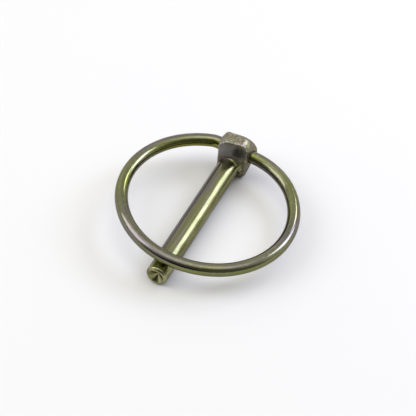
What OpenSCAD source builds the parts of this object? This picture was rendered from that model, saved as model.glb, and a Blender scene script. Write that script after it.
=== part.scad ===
// Linch pin: a forged pin with a ring of spring wire hinged through its head.
// It lies on a flat surface, on the underside of its head and on its nose, with the ring closed.
// +X runs across the pin, +Y towards the head and +Z up. Z = 0 is the surface that it lies on.

/* [Shank] */
// Diameter of the shank, the size that the pin is sold by
shank_d = 6; // [5:0.5:8]
// Clear length between the face of the head and the closed ring
clear_l = 38.7; // [30:0.1:80]
// How much the shank flares, on the radius, where it meets the head
neck_flare = 0.7; // [0.3:0.1:0.7]
// Radius of the fillet that makes the flare
neck_fillet = 2; // [1.6:0.1:4]

/* [Nose] */
// How far the nose stands out past the closed ring
nose_out = 1.7; // [1:0.1:6]
// How far short of the closed ring the shank starts to narrow to the nose
nose_lead = 1.4; // [1.2:0.1:4]
// How much thinner the nose is than the shank, on the diameter
nose_relief = 0.1; // [0:0.02:0.4]
// Length of the taper from the shank to the nose
nose_taper_l = 1; // [0.7:0.1:1.2]
// Width of the chamfer round the end of the nose
nose_chamfer = 0.5; // [0.2:0.1:1]
// Diameter of the conical dimple in the end of the nose
dimple_d = 4.2; // [1:0.1:4.4]
// Included angle of the dimple
dimple_angle = 110; // [80:5:140]
// Diameter of the flat at the bottom of the dimple
dimple_floor_d = 0.4; // [0.1:0.1:1]

/* [Head] */
// Width of the front face
face_w = 8; // [7.5:0.1:20]
// Width of the head at its waist, just in front of the hinge
waist_w = 8.2; // [7.5:0.1:20]
// Width of the domed back, which swells round the cross hole
dome_w = 10.4; // [9:0.1:22]
// Height of the head's top over the shank
head_rise = 6.4; // [5:0.1:12]
// Thickness of the head under the shank
foot_wall = 1; // [0.8:0.1:4]
// Distance from the hinge axis forward to the front face
face_l = 3.9; // [3.6:0.1:8]
// Distance from the front face back to the edge of the underside, which the toe slopes down to
toe_l = 1.1; // [0.5:0.1:2]
// Height of the front face's lower edge over the underside
toe_rise = 1.3; // [0:0.1:2]
// Distance from the hinge axis forward to the middle of the waist
waist_l = 0.7; // [0:0.1:2]
// How much further forward the right side of the waist stands than its middle
waist_skew = 0.6; // [-1:0.1:1]
// Distance from the hinge axis back to the widest part of the domed back
dome_l = 1.8; // [1:0.1:5]
// Distance from the hinge axis back to the end of the head
back_l = 3; // [2.8:0.1:8]
// How much lower the domed back is than the waist, at the top and at the bottom
dome_fall = 2.3; // [0:0.1:4]
// How much the back end draws in from the dome all round
back_draft = 1.2; // [0:0.1:2]
// Width of the chamfers on the upper corners of the front face
face_corner = 1.6; // [0.5:0.1:3]
// Height of the chamfers on the upper corners of the front face
face_corner_h = 1.8; // [0.5:0.1:3]
// Width of the chamfers on the upper corners of the waist
waist_corner = 1.1; // [0.5:0.1:3]
// Height of the chamfers on the upper corners of the waist
waist_corner_h = 2; // [0.5:0.1:3]
// Width of the chamfers on the lower corners
foot_corner = 0.7; // [0.3:0.1:3]
// Height of the chamfers on the lower corners
foot_corner_h = 1.4; // [0.3:0.1:3]
// Share by which the forging leaves the left upper corners larger, and the right ones smaller
corner_lean = 0.3; // [-0.4:0.05:0.4]
// How far the forging has slipped sideways at its domed back
die_slip = 0.5; // [0:0.1:1]
// Radius on all of the head's edges
head_edge_r = 0.4; // [0.3:0.1:1]
// Turn of the head about the vertical, which the forging leaves a little askew of the shank
head_turn = 9; // [0:0.5:10]

/* [Ring] */
// Diameter of the ring's wire
wire_d = 3.5; // [2:0.1:4.5]
// Radius to the middle of the wire of the tighter bend, where the wire leaves the head
bend_r = 5; // [3:0.1:8]
// How far the middle of the ring lies to the right of the head's middle
ring_offset = 1.9; // [0:0.1:3]
// Gap between the two wire ends inside the head
end_gap = 1; // [0.4:0.1:3]

/* [Hinge] */
// Height of the middle of the cross hole over the axis of the shank
hinge_rise = 3; // [0:0.1:4]
// Slant of the cross hole, which sets its two mouths at different heights
hinge_slant = 4; // [0:0.5:12]
// Clearance of the wire in the cross hole, on the radius
hole_clearance = 0.08; // [0.02:0.01:0.08]
// Distance from the sides of the front face out to where the wire starts to bend
side_run = 1.1; // [0.8:0.1:3]
// Gap between the closed ring and the nose that it rests on
rest_gap = 0.05; // [0.02:0.01:0.2]

/* [Hidden] */
$fn = 96;
EDGE_FN = 12;
OVAL_BALLS = 16;
// each length of wire is this much thinner than the one that it runs into, and laps into it by this much,
// so that the lengths join in one solid
join_step = 0.02;
join_lap = 0.1;

shank_r = shank_d / 2;
nose_r = shank_r - nose_relief / 2;
wire_r = wire_d / 2;
// distances along the pin from the hinge axis, towards the nose
face_y = face_l;
// the flare's root stands back from the front face, so that the turned face covers all of it
root_r = shank_r + neck_flare;
root_y = face_y - root_r * tan(head_turn);
shank_y = root_y + sqrt(pow(neck_fillet, 2) - pow(neck_fillet - neck_flare, 2));
cross_y = face_y + clear_l + wire_r;
nose_y = cross_y - wire_r - nose_lead;
end_y = cross_y + wire_r + nose_out;
dimple_depth = (dimple_d - dimple_floor_d) / 2 / tan(dimple_angle / 2);
head_top = shank_r + head_rise;
head_foot = shank_r + foot_wall;
face_half_w = face_w / 2;
waist_half_w = waist_w / 2;
dome_half_w = dome_w / 2;
head_half_h = (head_top + head_foot) / 2;
dome_half_h = head_half_h - dome_fall;
toe_y = face_l - toe_l;

// in the ring's own plane, the pin's axis lies this far to the right of the head's middle
axis_x = hinge_rise * sin(hinge_slant);
// the closed ring rises this much from the hinge axis to where it crosses the nose
ring_rise = nose_r + rest_gap + wire_r - hinge_rise * cos(hinge_slant);
closed_angle = atan2(ring_rise, cross_y);
cross_u = norm([ring_rise, cross_y]);
// the straight ends of the wire run this far to each side
straight_x = face_half_w + side_run;
// the round reaches this far behind the hinge axis, which gives the tighter bend its radius
ring_back = pow(straight_x + ring_offset, 2) / (cross_u - 2 * bend_r);
// the far side of the round crosses the pin at cross_u
round_u = cross_u + ring_back;
ring_r = (pow(round_u, 2) + pow(ring_offset - axis_x, 2)) / (2 * round_u);
centre_u = ring_r - ring_back;

// the pin lies on the front edge of its head's underside and on the lower edge of its nose
rest_run = end_y - nose_chamfer - toe_y;
rest_rise = head_foot - head_edge_r - nose_r;
rest_tilt = asin(head_edge_r / norm([rest_run, rest_rise])) + atan2(rest_rise, rest_run);
axis_z = head_edge_r + (head_foot - head_edge_r) * cos(rest_tilt) + toe_y * sin(rest_tilt);
// the middle of the whole, seen from above
middle_x = ring_offset * cos(hinge_slant);
back_corner_x = die_slip + dome_half_w - back_draft - head_edge_r;
back_y = head_edge_r + back_corner_x * sin(head_turn) + (back_l - head_edge_r) * cos(head_turn);
middle_y = (back_y - end_y) / 2;

// Radius of the bend that leaves a straight end and runs into the round of the ring.
function bend_radius(side) =
    (ring_r + centre_u - pow(side * straight_x - ring_offset, 2) / ring_back) / 2;
// Angle at which that bend meets the round, seen from the middle of the ring.
function bend_angle(side) = atan2(centre_u - bend_radius(side), side * straight_x - ring_offset);

// Puts what is made about the hinge axis, with the nose towards -Y, where it lies.
module lying() {
    translate([-middle_x, -middle_y, axis_z])
        rotate([rest_tilt, 0, 0])
            children();
}

// Turns +Z to run along the pin from the hinge axis, a distance y towards the nose.
module along_pin(y) {
    translate([0, -y, 0])
        rotate([90, 0, 0])
            children();
}

// Puts what is made along X on the cross hole's axis.
module on_hinge() {
    translate([0, 0, hinge_rise])
        rotate([0, hinge_slant, 0])
            children();
}

// One bent length of wire round the origin.
module wire_arc(r, from, to, d) {
    rotate([0, 0, from])
        rotate_extrude(angle = to - from)
            translate([r, 0])
                circle(d = d);
}

// The ends of the chamfer on one corner of a section of the head, as two balls of its hull.
module head_corner(x, y, z, width, height) {
    out = sign(x) * head_edge_r;
    up = sign(z) * head_edge_r;
    translate([x - out - sign(x) * width, y, z - up])
        sphere(r = head_edge_r, $fn = EDGE_FN);
    translate([x - out, y, z - up - sign(z) * height])
        sphere(r = head_edge_r, $fn = EDGE_FN);
}

// Small balls round one oval section of the domed back.
module head_oval(y, shift, half_w, half_h) {
    for (turn = [0 : 360 / OVAL_BALLS : 359])
        translate([shift + (half_w - head_edge_r) * cos(turn), y, (half_h - head_edge_r) * sin(turn)])
            sphere(r = head_edge_r, $fn = EDGE_FN);
}

module head() {
    translate([0, 0, head_top - head_half_h])
        rotate([0, 0, head_turn])
            hull() {
                for (side = [-1, 1]) {
                    face_x = side * face_half_w;
                    waist_x = side * waist_half_w;
                    waist_y = -waist_l - side * waist_skew;
                    uneven = 1 - side * corner_lean;
                    head_corner(face_x, head_edge_r - face_l, head_half_h, face_corner * uneven,
                        face_corner_h);
                    head_corner(face_x, head_edge_r - face_l, toe_rise - head_half_h, foot_corner,
                        foot_corner);
                    head_corner(face_x, -toe_y, -head_half_h, foot_corner, foot_corner_h);
                    head_corner(waist_x, waist_y, head_half_h, waist_corner * uneven,
                        waist_corner_h * uneven);
                    head_corner(waist_x, waist_y, -head_half_h, foot_corner, foot_corner_h);
                }
                head_oval(dome_l, die_slip, dome_half_w, dome_half_h);
                head_oval(back_l - head_edge_r, die_slip, dome_half_w - back_draft,
                    dome_half_h - back_draft);
            }
}

// Half outline of the shank and nose, turned round the pin's axis; it starts inside the head and ends in
// the dimple.
module shank() {
    rotate_extrude()
        difference() {
            polygon([
                [0, 0],
                [root_r, 0],
                [root_r, root_y],
                [shank_r, shank_y],
                [shank_r, nose_y],
                [nose_r, nose_y + nose_taper_l],
                [nose_r, end_y - nose_chamfer],
                [nose_r - nose_chamfer, end_y],
                [dimple_d / 2, end_y],
                [dimple_floor_d / 2, end_y - dimple_depth],
                [0, end_y - dimple_depth],
            ]);
            translate([shank_r + neck_fillet, shank_y])
                circle(r = neck_fillet);
        }
}

module pin() {
    color("darkkhaki")
        lying()
            difference() {
                union() {
                    head();
                    along_pin(0)
                        shank();
                }
                on_hinge()
                    rotate([0, 90, 0])
                        cylinder(r = wire_r + hole_clearance, h = 2 * dome_w, center = true);
            }
}

// The round of the ring, in its own plane, with the far side towards -Y.
module ring_round() {
    translate([ring_offset, -centre_u, 0])
        wire_arc(ring_r, bend_angle(-1), bend_angle(1) + 360, wire_d);
}

// The bend from the straight end on one side into the round.
module ring_bend(side) {
    r = bend_radius(side);
    lap = join_lap / r * 180 / PI;
    translate([side * straight_x, -r, 0])
        if (side > 0)
            wire_arc(r, bend_angle(side) - lap, 90, wire_d - join_step);
        else
            wire_arc(r, 90, bend_angle(side) + lap, wire_d - join_step);
}

// The straight end that turns in the head.
module ring_end(side) {
    translate([side * end_gap / 2, 0, 0])
        rotate([0, side * 90, 0])
            cylinder(d = wire_d - 2 * join_step, h = straight_x - end_gap / 2 + join_lap);
}

module ring() {
    color("darkkhaki")
        lying()
            on_hinge()
                rotate([-closed_angle, 0, 0]) {
                    ring_round();
                    for (side = [-1, 1]) {
                        ring_bend(side);
                        ring_end(side);
                    }
                }
}

pin();
ring();
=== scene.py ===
import math

import bmesh
import bpy
from mathutils import Matrix, Vector


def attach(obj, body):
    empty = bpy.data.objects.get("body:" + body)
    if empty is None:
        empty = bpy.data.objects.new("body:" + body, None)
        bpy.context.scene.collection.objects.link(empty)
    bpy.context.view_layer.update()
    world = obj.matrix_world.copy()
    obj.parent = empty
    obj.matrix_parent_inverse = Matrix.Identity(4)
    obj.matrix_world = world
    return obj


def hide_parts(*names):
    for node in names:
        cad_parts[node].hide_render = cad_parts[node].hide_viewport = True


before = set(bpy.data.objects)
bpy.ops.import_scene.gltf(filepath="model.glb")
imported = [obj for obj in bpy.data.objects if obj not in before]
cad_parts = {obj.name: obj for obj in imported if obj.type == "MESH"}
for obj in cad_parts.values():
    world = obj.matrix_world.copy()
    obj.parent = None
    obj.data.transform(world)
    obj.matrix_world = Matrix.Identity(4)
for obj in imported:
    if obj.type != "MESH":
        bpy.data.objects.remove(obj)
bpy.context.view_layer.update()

# ---------------------------------------------------------------- sizes, in millimetres

MM = 0.001

SHANK_R = 3.0
NOSE_R = 2.95
FLARE = 0.7          # how much the shank widens where it meets the head
FLARE_FILLET = 2.0
TAIL_Y = 2.0         # the shank starts inside the head, clear of the cross hole
ROOT_Y = 3.314       # distances along the pin are from the hinge axis towards the nose
SHANK_Y = 4.834
NOSE_Y = 41.2
NOSE_TAPER = 1.0
NOSE_CHAMFER = 0.5
END_Y = 47.8
DIMPLE_R = 2.1
DIMPLE_FLOOR_R = 0.2
DIMPLE_DEPTH = 1.33
EDGE_BREAK = 0.12    # on the turned edges
EDGE_ANGLE = 25      # and they turn by more degrees than this

HINGE_RISE = 3.0
HINGE_SLANT = 4.0
HOLE_R = 1.83
DRILL_LENGTH = 20

WIRE_R = 1.742       # a hair less than the CAD's 1.75, to stay inside its box
END_CHAMFER = 0.25   # on the wire's two ends, which stand END_GAP apart in the cross hole
END_GAP = 1.0
STRAIGHT_X = 5.1
RING_OFFSET = 1.9
RING_R = 22.9361
RING_BACK = 1.42505
CLOSED_ANGLE = 2.26908

HEAD_HALF_H = 6.7
HEAD_MIDDLE_Z = 2.7
HEAD_TURN = 9.0
FACE_HALF_W = 4.0
FACE_Y = 3.9
FACE_CORNER = (1.6, 1.8)
TOE_Y = 2.8
TOE_RISE = 1.3
FOOT_CORNER = (0.7, 1.4)
WAIST_HALF_W = 4.1
WAIST_Y = 0.7
WAIST_SKEW = 0.6
WAIST_CORNER = (1.1, 2.0)
CORNER_LEAN = 0.3
EDGE_ROLL = 0.35
DOME_HALF_W = 5.2
DOME_HALF_H = 4.4
DOME_Y = 1.8
BACK_Y = 2.95
BACK_DRAFT = 1.2
DIE_SLIP = 0.5
SKIN_MESH = 0.13     # the forged skin's mesh size, whose edges are then smoothed round
SMOOTHINGS = 7
FULL_WEAR = 0.16     # an edge rounded off by this much is rubbed bare

# where the hinge axis stands, and how far the pin leans down to its nose as it lies
LIE = (-1.89537, 22.0953, 4.06505)
LEAN = 1.35182


def turn(degrees, axis):
    return Matrix.Rotation(math.radians(degrees), 4, axis)


def shift(x, y, z):
    return Matrix.Translation((x, y, z))


# pin: origin on the shank's axis level with the hinge, +Y to the head, in millimetres
PIN = Matrix.Scale(MM, 4) @ shift(*LIE) @ turn(LEAN, "X")
HINGE = PIN @ shift(0, 0, HINGE_RISE) @ turn(HINGE_SLANT, "Y")
RING = HINGE @ turn(-CLOSED_ANGLE, "X")
HEAD = PIN @ shift(0, 0, HEAD_MIDDLE_Z) @ turn(HEAD_TURN, "Z")


# ---------------------------------------------------------------- materials

# Zinc plate is a grey metal. Its yellow passivation is a chromate film a fraction of a micrometre thick,
# which shows olive where it is thicker and mauve where it is thinner or seen at a low angle. It follows the
# surface below it, so drawn wire keeps its long lines, and forged skin its grain.
MAUVE = "#706a68"
GREY_OLIVE = "#716f5a"
OLIVE = "#707448"
WARM_OLIVE = "#737347"
DEEP_OLIVE = "#74762e"
PALE_OLIVE = "#96956c"
LOW_ANGLE_TINT = "#cbc4c8"
SPECKS = "#a09b90"

# patches in the row's frame, in millimetres: centre, radius up to which it is full, radius where it ends
FILM_CHANGES = (
    (((8, 19.5, 8.5), 1, 9), -0.16),      # thin where the ring was held, right of the head
    (((18, -11, 8), 2, 13), 0.08),        # thick where it drained, at the front right
    (((-14, -17, 9.5), 2, 13), -0.08),    # thin at the front left
)
HUNG_LOWEST = ((-12, 16, 8), 6, 32)
# a pale grey painted reflection of the floor on the head's face
FACE_PALE_REFLECTION = ((-2.6, 18.2, 9.5), 0.9, 4.7)
# a dark painted reflection of the shank's shaded side on the head's face
FACE_DARK_REFLECTION = ((0.5, 18.3, 10.1), 0.9, 2.7)
# a painted highlight on the head's top right corner
CORNER_HIGHLIGHT = ((2.0, 20.3, 12.5), 0.3, 1.5)
RAGGED = 2.4         # how far the edges of the patches on the head wander


def rgb(hex_code):
    """sRGB hex to linear."""
    channels = [int(hex_code[i:i + 2], 16) / 255 for i in (1, 3, 5)]
    linear = [c / 12.92 if c <= 0.04045 else ((c + 0.055) / 1.055) ** 2.4 for c in channels]
    return (*linear, 1.0)


def add(tree, kind, links=None, stops=None, **settings):
    """Adds one node. Settings are its properties, or inputs if named in_...; links map input to output."""
    node = tree.nodes.new(kind)
    for key, value in settings.items():
        if key.startswith("in_"):
            name = key[3:].replace("_", " ")
            node.inputs[int(name) if name.isdigit() else name].default_value = value
        else:
            setattr(node, key, value)
    for index, (position, colour) in enumerate(stops or []):
        ramp = node.color_ramp.elements
        stop = ramp[index] if index < 2 else ramp.new(position)
        stop.position = position
        stop.color = rgb(colour)
    for key, source in (links or {}).items():
        tree.links.new(source, node.inputs[key])
    return node


def new_material(name):
    material = bpy.data.materials.new(name)
    material.use_nodes = True
    tree = material.node_tree
    tree.nodes.clear()
    output = tree.nodes.new("ShaderNodeOutputMaterial")
    shader = tree.nodes.new("ShaderNodeBsdfPrincipled")
    tree.links.new(shader.outputs["BSDF"], output.inputs["Surface"])
    return material, tree, shader


def new_plating(name):
    """A metal that pales to mauve at a low angle."""
    material, tree, shader = new_material(name)
    shader.inputs["Metallic"].default_value = 1.0
    shader.inputs["Specular Tint"].default_value = rgb(LOW_ANGLE_TINT)
    return material, tree, shader


def mm(size):
    """Noise scale on Object coordinates, which are in metres, for a pattern of this size in millimetres."""
    return 1 / MM / size


def patch(tree, coords, centre, inner, outer):
    """1 up to the inner radius round a centre and 0 beyond the outer, all in millimetres."""
    gap = add(tree, "ShaderNodeVectorMath", {0: coords}, operation="DISTANCE", in_1=[c * MM for c in centre])
    near = add(tree, "ShaderNodeMapRange", {"Value": gap.outputs["Value"]}, interpolation_type="SMOOTHSTEP",
               in_From_Min=inner * MM, in_From_Max=outer * MM, in_To_Min=1.0, in_To_Max=0.0)
    return near.outputs["Result"]


def wire_finish():
    """Drawn spring wire: smooth and bright, with fine lines along it and dull specks in the plating."""
    material, tree, shader = new_plating("yellow zinc on drawn spring wire")
    coords = add(tree, "ShaderNodeTexCoord").outputs["Object"]
    wire = add(tree, "ShaderNodeAttribute", attribute_name="wire").outputs["Vector"]

    # the film's thickness varies in blotches 2.4 mm wide and 22 mm long, and from patch to patch
    film_at = add(tree, "ShaderNodeMapping", {"Vector": wire}, in_Location=(7.3, 14.7, 0),
                  in_Scale=(WIRE_R / 2.4, WIRE_R / 2.4, 1 / 22))
    film = add(tree, "ShaderNodeTexNoise", {"Vector": film_at.outputs["Vector"]}, in_Scale=1.0, in_Detail=3.0)
    thickness = film.outputs["Fac"]
    for place, change in FILM_CHANGES:
        thicker = add(tree, "ShaderNodeMath", {0: patch(tree, coords, *place), 2: thickness},
                      operation="MULTIPLY_ADD", in_1=change)
        thickness = thicker.outputs["Value"]
    # it is thickest on the inner flank to the left of the head, which hung lowest in the bath
    facing = add(tree, "ShaderNodeAttribute", attribute_name="towards_nose")
    inner_flank = add(tree, "ShaderNodeMapRange", {"Value": facing.outputs["Fac"]},
                      in_From_Min=0.1, in_From_Max=0.7, in_To_Min=0.0, in_To_Max=0.3)
    drained = add(tree, "ShaderNodeMath", operation="MULTIPLY_ADD", links={
        0: inner_flank.outputs["Result"], 1: patch(tree, coords, *HUNG_LOWEST), 2: thickness})
    colour = add(tree, "ShaderNodeValToRGB", {"Fac": drained.outputs["Value"]},
                 stops=[(0.36, MAUVE), (0.8, DEEP_OLIVE), (0.47, GREY_OLIVE), (0.6, OLIVE)])

    # drawn coarser than real draw lines, 0.6 mm apart, so that they show
    lines_at = add(tree, "ShaderNodeMapping", {"Vector": wire},
                   in_Scale=(WIRE_R / 0.6, WIRE_R / 0.6, 1 / 14))
    lines = add(tree, "ShaderNodeTexNoise", {"Vector": lines_at.outputs["Vector"]}, in_Scale=1.0,
                in_Detail=2.0)
    shade = add(tree, "ShaderNodeMapRange", {"Value": lines.outputs["Fac"]},
                in_From_Min=0.3, in_From_Max=0.7, in_To_Min=0.75, in_To_Max=1.25)
    lined = add(tree, "ShaderNodeVectorMath", {0: colour.outputs["Color"], "Scale": shade.outputs["Result"]},
                operation="SCALE")
    grooves = add(tree, "ShaderNodeBump", {"Height": lines.outputs["Fac"]}, in_Strength=0.12,
                  in_Distance=0.03 * MM)
    tree.links.new(grooves.outputs["Normal"], shader.inputs["Normal"])

    specks = add(tree, "ShaderNodeTexNoise", {"Vector": coords}, in_Scale=mm(0.9), in_Detail=3.0,
                 in_Roughness=0.65)
    dull = add(tree, "ShaderNodeMapRange", {"Value": specks.outputs["Fac"]},
               in_From_Min=0.48, in_From_Max=0.72, in_To_Min=0.0, in_To_Max=0.25)
    skin = add(tree, "ShaderNodeMix", {"Factor": dull.outputs["Result"], "A": lined.outputs["Vector"]},
               data_type="RGBA", in_B=rgb(SPECKS))
    tree.links.new(skin.outputs["Result"], shader.inputs["Base Color"])
    smooth_part = add(tree, "ShaderNodeMapRange", {"Value": lines.outputs["Fac"]},
                      in_From_Min=0.3, in_From_Max=0.7, in_To_Min=0.08, in_To_Max=0.15)
    roughness = add(tree, "ShaderNodeMath", operation="MULTIPLY_ADD", in_1=0.5,
                    links={0: dull.outputs["Result"], 2: smooth_part.outputs["Result"]})
    tree.links.new(roughness.outputs["Value"], shader.inputs["Roughness"])

    # the clear seal over the film, whose own sharper reflection whitens the highlights
    shader.inputs["Coat Weight"].default_value = 0.15
    shader.inputs["Coat Roughness"].default_value = 0.06
    return material


def shank_finish():
    """Drawn round bar: long lines along it, and a film that thickens from one flank to the other."""
    material, tree, shader = new_plating("yellow zinc on a drawn round shank")
    coords = add(tree, "ShaderNodeTexCoord").outputs["Object"]
    place = add(tree, "ShaderNodeSeparateXYZ", {"Vector": coords})

    across = add(tree, "ShaderNodeMapRange", {"Value": place.outputs["X"]},
                 in_From_Min=(LIE[0] - 3.0) * MM, in_From_Max=(LIE[0] + 1.7) * MM,
                 in_To_Min=-0.3, in_To_Max=0.3)
    film_at = add(tree, "ShaderNodeMapping", {"Vector": coords}, in_Scale=(mm(1.6), mm(9), mm(1.6)))
    film = add(tree, "ShaderNodeTexNoise", {"Vector": film_at.outputs["Vector"]}, in_Scale=1.0, in_Detail=3.0)
    uneven = add(tree, "ShaderNodeMath", {0: across.outputs["Result"], 1: film.outputs["Fac"]},
                 operation="ADD")
    # lighter over the last 6 mm to the nose end: a painted reflection of the pale floor in it
    nose_painted_reflection = add(tree, "ShaderNodeMapRange", {"Value": place.outputs["Y"]}, interpolation_type="SMOOTHSTEP",
                 in_From_Min=(LIE[1] - END_Y + 6) * MM, in_From_Max=(LIE[1] - END_Y + 0.8) * MM,
                 in_To_Min=0.0, in_To_Max=0.5)
    # the film's thickness, with the painted reflection at the nose added to it
    thickness = add(tree, "ShaderNodeMath", {0: uneven.outputs["Value"], 1: nose_painted_reflection.outputs["Result"]},
                    operation="ADD")
    colour = add(tree, "ShaderNodeValToRGB", {"Fac": thickness.outputs["Value"]},
                 stops=[(0.3, MAUVE), (1.05, PALE_OLIVE), (0.55, GREY_OLIVE), (0.78, WARM_OLIVE)])

    lines_at = add(tree, "ShaderNodeMapping", {"Vector": coords}, in_Scale=(mm(0.5), mm(14), mm(0.5)))
    lines = add(tree, "ShaderNodeTexNoise", {"Vector": lines_at.outputs["Vector"]}, in_Scale=1.0,
                in_Detail=2.0)
    shade = add(tree, "ShaderNodeMapRange", {"Value": lines.outputs["Fac"]},
                in_From_Min=0.3, in_From_Max=0.7, in_To_Min=0.82, in_To_Max=1.18)
    lined = add(tree, "ShaderNodeVectorMath", {0: colour.outputs["Color"], "Scale": shade.outputs["Result"]},
                operation="SCALE")
    tree.links.new(lined.outputs["Vector"], shader.inputs["Base Color"])
    grooves = add(tree, "ShaderNodeBump", {"Height": lines.outputs["Fac"]}, in_Strength=0.18,
                  in_Distance=0.02 * MM)
    tree.links.new(grooves.outputs["Normal"], shader.inputs["Normal"])

    specks = add(tree, "ShaderNodeTexNoise", {"Vector": coords}, in_Scale=mm(0.8), in_Detail=3.0,
                 in_Roughness=0.65)
    dull = add(tree, "ShaderNodeMapRange", {"Value": specks.outputs["Fac"]},
               in_From_Min=0.4, in_From_Max=0.75, in_To_Min=0.2, in_To_Max=0.28)
    tree.links.new(dull.outputs["Result"], shader.inputs["Roughness"])
    shader.inputs["Coat Weight"].default_value = 0.18
    shader.inputs["Coat Roughness"].default_value = 0.14
    return material


def head_finish():
    """Forged head: grainy skin under the plating, painted reflections on its face, a painted highlight on one
    corner, and edges worn bare with a painted highlight.
    """
    material, tree, shader = new_plating("yellow zinc on forged skin")
    coords = add(tree, "ShaderNodeTexCoord").outputs["Object"]

    blotches_at = add(tree, "ShaderNodeMapping", {"Vector": coords}, in_Location=(82.2 * MM, 42.6 * MM, 0))
    blotches = add(tree, "ShaderNodeTexNoise", {"Vector": blotches_at.outputs["Vector"]}, in_Scale=mm(1.0),
                   in_Detail=4.0, in_Roughness=0.7)
    film = add(tree, "ShaderNodeValToRGB", {"Fac": blotches.outputs["Fac"]},
               stops=[(0.38, "#8c7e76"), (0.62, "#787a51"), (0.5, "#857f6e")])
    grain = add(tree, "ShaderNodeTexNoise", {"Vector": coords}, in_Scale=mm(0.5), in_Detail=3.0,
                in_Roughness=0.6)
    shade = add(tree, "ShaderNodeMapRange", {"Value": grain.outputs["Fac"]},
                in_From_Min=0.38, in_From_Max=0.62, in_To_Min=0.6, in_To_Max=1.4)
    grained = add(tree, "ShaderNodeVectorMath", {0: film.outputs["Color"], "Scale": shade.outputs["Result"]},
                  operation="SCALE")
    bump = add(tree, "ShaderNodeBump", {"Height": grain.outputs["Fac"]}, in_Strength=0.6,
               in_Distance=0.08 * MM)
    tree.links.new(bump.outputs["Normal"], shader.inputs["Normal"])

    # ragged patches of painted light: a pale painted reflection of the floor on the face, a dark painted
    # reflection beside it, and a painted highlight on a corner
    wander = add(tree, "ShaderNodeVectorMath", {0: blotches.outputs["Color"]}, operation="MULTIPLY_ADD",
                 in_1=(RAGGED * MM,) * 3, in_2=(-RAGGED / 2 * MM,) * 3)
    ragged = add(tree, "ShaderNodeVectorMath", {0: coords, 1: wander.outputs["Vector"]}, operation="ADD")
    skin = grained.outputs["Vector"]
    for place, colour in ((FACE_PALE_REFLECTION, "#b2afb1"), (FACE_DARK_REFLECTION, "#52504c"), (CORNER_HIGHLIGHT, "#aaac86")):
        amount = patch(tree, ragged.outputs["Vector"], *place)
        layered = add(tree, "ShaderNodeMix", {"Factor": amount, "A": skin}, data_type="RGBA",
                      in_B=rgb(colour))
        skin = layered.outputs["Result"]
    # and edges lightened where the mesh of the skin has been rounded off: worn bare metal, and partly a
    # painted edge highlight
    wear = add(tree, "ShaderNodeAttribute", attribute_name="wear")
    uneven = add(tree, "ShaderNodeMath", {0: wear.outputs["Fac"], 1: grain.outputs["Fac"]}, operation="ADD")
    wear_and_highlight = add(tree, "ShaderNodeMapRange", {"Value": uneven.outputs["Value"]},
                 in_From_Min=0.66, in_From_Max=0.9)
    bright = add(tree, "ShaderNodeMix", {"Factor": wear_and_highlight.outputs["Result"], "A": skin}, data_type="RGBA",
                 in_B=rgb("#ebe9dd"))
    tree.links.new(bright.outputs["Result"], shader.inputs["Base Color"])

    skin_rough = add(tree, "ShaderNodeMapRange", {"Value": grain.outputs["Fac"]},
                     in_From_Min=0.3, in_From_Max=0.7, in_To_Min=0.34, in_To_Max=0.56)
    roughness = add(tree, "ShaderNodeMix", in_B=0.75,
                    links={"Factor": wear_and_highlight.outputs["Result"], "A": skin_rough.outputs["Result"]})
    tree.links.new(roughness.outputs["Result"], shader.inputs["Roughness"])
    return material


def card_finish():
    """White card under the part: matt, and a little off white."""
    material, tree, shader = new_material("white card")
    shader.inputs["Base Color"].default_value = rgb("#dddcd8")
    shader.inputs["Roughness"].default_value = 0.9
    return material


# ---------------------------------------------------------------- pieces

def new_object(name, bm):
    mesh = bpy.data.meshes.new(name)
    bm.to_mesh(mesh)
    bm.free()
    obj = bpy.data.objects.new(name, mesh)
    bpy.context.scene.collection.objects.link(obj)
    return obj


def piece(bm, name, place, material, node):
    """Makes a bmesh a finished piece in the row's frame, which rides with a CAD node and replaces it."""
    bmesh.ops.transform(bm, matrix=place, verts=bm.verts)
    obj = new_object(name, bm)
    obj.data.materials.append(material)
    obj.data.shade_smooth()
    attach(obj, node)
    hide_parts(node)
    return obj


def bend_radius(side):
    """The bend on one side joins the straight end at STRAIGHT_X to the round without a kink."""
    centre_u = RING_R - RING_BACK
    return (RING_R + centre_u - (side * STRAIGHT_X - RING_OFFSET) ** 2 / RING_BACK) / 2


def bend_angle(side):
    """Where that bend meets the round, in degrees."""
    centre_u = RING_R - RING_BACK
    return math.degrees(math.atan2(centre_u - bend_radius(side), side * STRAIGHT_X - RING_OFFSET))


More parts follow.
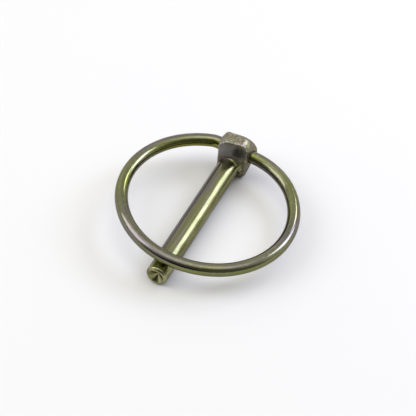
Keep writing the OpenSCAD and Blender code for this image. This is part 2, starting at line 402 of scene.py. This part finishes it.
def wire_ring():
    """One wire: straight in the head, a tight bend, the round, a wide bend, and straight again."""
    bm = bmesh.new()
    # the wire's own coordinates: across it in radii, and along it in millimetres
    where = bm.verts.layers.float_vector.new("wire")
    bmesh.ops.create_circle(bm, cap_ends=False, radius=WIRE_R - END_CHAMFER, segments=64,
                            matrix=shift(-END_GAP / 2, 0, 0) @ turn(90, "Y"))
    for vert in bm.verts:
        vert[where] = (vert.co.y / WIRE_R, vert.co.z / WIRE_R, 0)
    front = list(bm.edges)
    length = 0.0

    def grow(matrix, step):
        nonlocal front, length
        length += step
        made = bmesh.ops.extrude_edge_only(bm, edges=front)["geom"]
        verts = [g for g in made if isinstance(g, bmesh.types.BMVert)]
        front = [g for g in made if isinstance(g, bmesh.types.BMEdge)
                 and g.verts[0] in verts and g.verts[1] in verts]
        bmesh.ops.transform(bm, matrix=matrix, verts=verts)
        for vert in verts:
            vert[where] = (vert[where].x, vert[where].y, length)

    def swell(factor):
        verts = {vert for edge in front for vert in edge.verts}
        bmesh.ops.scale(bm, vec=(1, factor, factor), verts=list(verts))

    def straight(distance, steps=1):
        for _ in range(steps):
            grow(shift(-distance / steps, 0, 0), distance / steps)

    def bend(x, y, radius, degrees, steps):
        matrix = shift(x, y, 0) @ turn(degrees / steps, "Z") @ shift(-x, -y, 0)
        for _ in range(steps):
            grow(matrix, math.radians(degrees) * radius / steps)

    # the first end is closed, and its outline is the front that grows
    bmesh.ops.edgeloop_fill(bm, edges=front)
    straight(END_CHAMFER)
    swell(WIRE_R / (WIRE_R - END_CHAMFER))
    to_bend = STRAIGHT_X - END_GAP / 2 - END_CHAMFER
    straight(to_bend, steps=4)
    tight, wide = bend_radius(-1), bend_radius(1)
    left_angle, right_angle = bend_angle(-1) % 360, bend_angle(1)
    bend(-STRAIGHT_X, -tight, tight, left_angle - 90, steps=24)
    bend(RING_OFFSET, RING_BACK - RING_R, RING_R, right_angle + 360 - left_angle, steps=200)
    bend(STRAIGHT_X, -wide, wide, 90 - right_angle, steps=16)
    straight(to_bend, steps=4)
    straight(END_CHAMFER)
    swell((WIRE_R - END_CHAMFER) / WIRE_R)
    bmesh.ops.edgeloop_fill(bm, edges=front)
    bmesh.ops.recalc_face_normals(bm, faces=bm.faces)
    bm.normal_update()
    towards_nose = bm.verts.layers.float.new("towards_nose")
    for vert in bm.verts:
        vert[towards_nose] = -(RING.to_3x3() @ vert.normal).normalized().y
    ring = piece(bm, "wire_ring", RING, wire_finish(), "ring")
    ring.data.set_sharp_from_angle(angle=math.radians(35))


def arc(cx, cy, radius, start, end, steps):
    angles = [math.radians(start + (end - start) * i / steps) for i in range(steps + 1)]
    return [(cx + radius * math.cos(a), cy + radius * math.sin(a)) for a in angles]


def shank():
    """The shank turned from its half outline: flare, shank, taper, nose, chamfer and dimple."""
    swing = math.degrees(math.asin((SHANK_Y - ROOT_Y) / FLARE_FILLET))
    outline = [(0, TAIL_Y), (SHANK_R + FLARE, TAIL_Y)]
    outline += arc(SHANK_R + FLARE_FILLET, SHANK_Y, FLARE_FILLET, 180 + swing, 180, steps=12)
    outline += [(SHANK_R, NOSE_Y), (NOSE_R, NOSE_Y + NOSE_TAPER), (NOSE_R, END_Y - NOSE_CHAMFER),
                (NOSE_R - NOSE_CHAMFER, END_Y), (DIMPLE_R, END_Y),
                (DIMPLE_FLOOR_R, END_Y - DIMPLE_DEPTH), (0, END_Y - DIMPLE_DEPTH)]
    bm = bmesh.new()
    verts = [bm.verts.new((r, -y, 0)) for r, y in outline]
    edges = [bm.edges.new(pair) for pair in zip(verts, verts[1:])]
    bmesh.ops.spin(bm, geom=verts + edges, cent=(0, 0, 0), axis=(0, 1, 0), angle=math.tau, steps=128,
                   use_merge=True)
    bmesh.ops.remove_doubles(bm, verts=bm.verts, dist=0.0005)
    bmesh.ops.recalc_face_normals(bm, faces=bm.faces)
    turned = piece(bm, "shank", PIN, shank_finish(), "pin")
    turned.data.set_sharp_from_angle(angle=math.radians(EDGE_ANGLE))
    bevel = turned.modifiers.new("edge_break", "BEVEL")
    bevel.width = EDGE_BREAK * MM
    bevel.segments = 3
    bevel.limit_method = "ANGLE"
    bevel.angle_limit = math.radians(EDGE_ANGLE)


def corner(x, y, z, width, height, roll=0.0):
    """The two ends of the chamfer on one corner of a section of the head, the upper end rolled over."""
    upper = Vector((x - math.copysign(width, x), y, z))
    lower = Vector((x, y, z - math.copysign(height, z)))
    rolled = upper + (lower - upper).normalized() * roll
    return [upper - Vector((math.copysign(roll, x), 0, 0)), rolled, lower]


def oval(y, half_w, half_h, count=32):
    angles = [math.tau * i / count for i in range(count)]
    return [Vector((DIE_SLIP + half_w * math.cos(a), y, half_h * math.sin(a))) for a in angles]


def with_modifier(obj, kind, **settings):
    """Puts the result of one modifier into the object's own mesh."""
    modifier = obj.modifiers.new(kind, kind)
    for key, value in settings.items():
        setattr(modifier, key, value)
    bpy.context.view_layer.update()
    mesh = bpy.data.meshes.new_from_object(obj.evaluated_get(bpy.context.evaluated_depsgraph_get()))
    obj.modifiers.remove(modifier)
    old = obj.data
    obj.data = mesh
    bpy.data.meshes.remove(old)


def head_outline():
    """The corners of the head's face, foot and waist, and the two ovals of its domed back."""
    points = []
    for side in (-1, 1):
        uneven = 1 - side * CORNER_LEAN
        roll = EDGE_ROLL * (1.5 + side / 2)
        face_x = side * FACE_HALF_W
        points += corner(face_x, -FACE_Y, HEAD_HALF_H, FACE_CORNER[0] * uneven, FACE_CORNER[1], roll)
        points += corner(face_x, -FACE_Y, TOE_RISE - HEAD_HALF_H, FOOT_CORNER[0], FOOT_CORNER[0])
        points += corner(face_x, -TOE_Y, -HEAD_HALF_H, *FOOT_CORNER)
        waist_x, waist_y = side * WAIST_HALF_W, -WAIST_Y - side * WAIST_SKEW
        points += corner(waist_x, waist_y, HEAD_HALF_H, WAIST_CORNER[0] * uneven, WAIST_CORNER[1] * uneven,
                         roll / 2)
        points += corner(waist_x, waist_y, -HEAD_HALF_H, *FOOT_CORNER)
    points += oval(DOME_Y, DOME_HALF_W, DOME_HALF_H)
    points += oval(BACK_Y, DOME_HALF_W - BACK_DRAFT, DOME_HALF_H - BACK_DRAFT)
    return points


def head():
    """The forged head: a block drafted to its face, leaning a little, with a domed back and a cross hole."""
    bm = bmesh.new()
    for point in head_outline():
        bm.verts.new(point)
    bmesh.ops.remove_doubles(bm, verts=bm.verts, dist=1e-4)
    bmesh.ops.convex_hull(bm, input=bm.verts)
    bmesh.ops.recalc_face_normals(bm, faces=bm.faces)
    block = new_object("head_block", bm)

    bm = bmesh.new()
    bmesh.ops.create_cone(bm, cap_ends=True, segments=96, radius1=HOLE_R, radius2=HOLE_R, depth=DRILL_LENGTH,
                          matrix=HEAD.inverted() @ HINGE @ turn(90, "Y"))
    drill = new_object("drill", bm)
    with_modifier(block, "BOOLEAN", object=drill, operation="DIFFERENCE", solver="EXACT")
    bpy.data.objects.remove(drill)
    with_modifier(block, "REMESH", mode="VOXEL", voxel_size=SKIN_MESH)

    bm = bmesh.new()
    bm.from_mesh(block.data)
    bpy.data.objects.remove(block)
    wear = bm.verts.layers.float.new("wear")
    sharp = {vert: vert.co.copy() for vert in bm.verts}
    for _ in range(SMOOTHINGS):
        bmesh.ops.smooth_vert(bm, verts=bm.verts, factor=0.5, use_axis_x=True, use_axis_y=True,
                              use_axis_z=True)
    bm.normal_update()
    for vert in bm.verts:
        rounded = (sharp[vert] - vert.co).dot(vert.normal)
        vert[wear] = min(1.0, max(0.0, rounded / FULL_WEAR))
    piece(bm, "head", HEAD, head_finish(), "pin")


wire_ring()
shank()
head()


# ---------------------------------------------------------------- floor, light and camera, in metres

FLOOR_HALF = 1.5
LIGHT_DISTANCE = 0.6

# the camera's place in millimetres, its focal length, and which way is right and up in its view
CAMERA_AT = (108.972, -280.168, 330.014)
CAMERA_LENS = 145.06
CAMERA_RIGHT = Vector((0.8999, 0.4303, 0.0705))
CAMERA_UP = Vector((-0.3603, 0.6427, 0.6761))


def floor():
    bm = bmesh.new()
    bmesh.ops.create_grid(bm, x_segments=1, y_segments=1, size=FLOOR_HALF)
    obj = new_object("floor", bm)
    obj.data.materials.append(card_finish())


def toward(azimuth, elevation):
    """Direction at an azimuth from +Y towards +X, and an elevation."""
    a, e = math.radians(azimuth), math.radians(elevation)
    return Vector((math.sin(a) * math.cos(e), math.cos(a) * math.cos(e), math.sin(e)))


def softbox(name, azimuth, elevation, width, height, power, colour):
    light = bpy.data.lights.new(name, "AREA")
    light.shape = "RECTANGLE"
    light.size = width
    light.size_y = height
    light.energy = power
    light.color = rgb(colour)[:3]
    obj = bpy.data.objects.new(name, light)
    obj.location = toward(azimuth, elevation) * LIGHT_DISTANCE
    obj.rotation_euler = (-obj.location).to_track_quat("-Z", "Y").to_euler()
    bpy.context.scene.collection.objects.link(obj)


def surroundings():
    """An even pale room, brighter overhead and darker beyond the nose, with a darker level gap there."""
    world = bpy.data.worlds.new("room")
    bpy.context.scene.world = world
    world.use_nodes = True
    tree = world.node_tree
    tree.nodes.clear()
    output = tree.nodes.new("ShaderNodeOutputWorld")
    outward = add(tree, "ShaderNodeTexCoord").outputs["Generated"]
    height = add(tree, "ShaderNodeSeparateXYZ", {"Vector": outward})

    overhead = add(tree, "ShaderNodeMapRange", {"Value": height.outputs["Z"]},
                   interpolation_type="SMOOTHSTEP",
                   in_From_Min=0.8, in_From_Max=1.0, in_To_Min=0.95, in_To_Max=2.1)
    facing = add(tree, "ShaderNodeVectorMath", {"Vector": outward}, operation="DOT_PRODUCT",
                 in_1=toward(145, 0))
    shade = add(tree, "ShaderNodeMapRange", {"Value": facing.outputs["Value"]},
                interpolation_type="SMOOTHSTEP",
                in_From_Min=0.1, in_From_Max=0.7, in_To_Min=1.0, in_To_Max=0.21)
    shaded = add(tree, "ShaderNodeMath", {0: overhead.outputs["Result"], 1: shade.outputs["Result"]},
                 operation="MULTIPLY")

    # the gap between two pale screens: narrow, level, and only on one side of the room
    above_gap = add(tree, "ShaderNodeMath", {0: height.outputs["Z"]}, operation="SUBTRACT", in_1=0.3)
    off_gap = add(tree, "ShaderNodeMath", {0: above_gap.outputs["Value"]}, operation="ABSOLUTE")
    gap = add(tree, "ShaderNodeMapRange", {"Value": off_gap.outputs["Value"]},
              interpolation_type="SMOOTHSTEP",
              in_From_Min=0.08, in_From_Max=0.2, in_To_Min=0.04, in_To_Max=1.0)
    towards_gap = add(tree, "ShaderNodeVectorMath", {"Vector": outward}, operation="DOT_PRODUCT",
                      in_1=toward(-172, 0))
    beside = add(tree, "ShaderNodeMapRange", {"Value": towards_gap.outputs["Value"]},
                 interpolation_type="SMOOTHSTEP", in_From_Min=0.7, in_From_Max=0.86)
    kept = add(tree, "ShaderNodeMix", {"Factor": beside.outputs["Result"], "B": gap.outputs["Result"]},
               in_A=1.0)
    level = add(tree, "ShaderNodeMath", {0: shaded.outputs["Value"], 1: kept.outputs["Result"]},
                operation="MULTIPLY")
    sky = add(tree, "ShaderNodeBackground", {"Strength": level.outputs["Value"]}, in_Color=rgb("#fffffc"))
    tree.links.new(sky.outputs["Background"], output.inputs["Surface"])


def camera():
    data = bpy.data.cameras.new("camera")
    data.lens = CAMERA_LENS
    data.clip_start = 0.01
    obj = bpy.data.objects.new("camera", data)
    axes = Matrix((CAMERA_RIGHT, CAMERA_UP, CAMERA_RIGHT.cross(CAMERA_UP))).transposed()
    obj.matrix_world = Matrix.Translation(Vector(CAMERA_AT) * MM) @ axes.to_4x4()
    bpy.context.scene.collection.objects.link(obj)
    bpy.context.scene.camera = obj


floor()
surroundings()
softbox("key", azimuth=45, elevation=37, width=0.22, height=0.28, power=1.5, colour="#cfd5ff")
softbox("key spill", azimuth=17, elevation=37, width=0.12, height=0.12, power=0.34, colour="#f4f4ff")
softbox("fill", azimuth=-112, elevation=42, width=0.36, height=0.38, power=1.22, colour="#f6f6ff")
camera()
bpy.context.scene.view_settings.view_transform = "Standard"
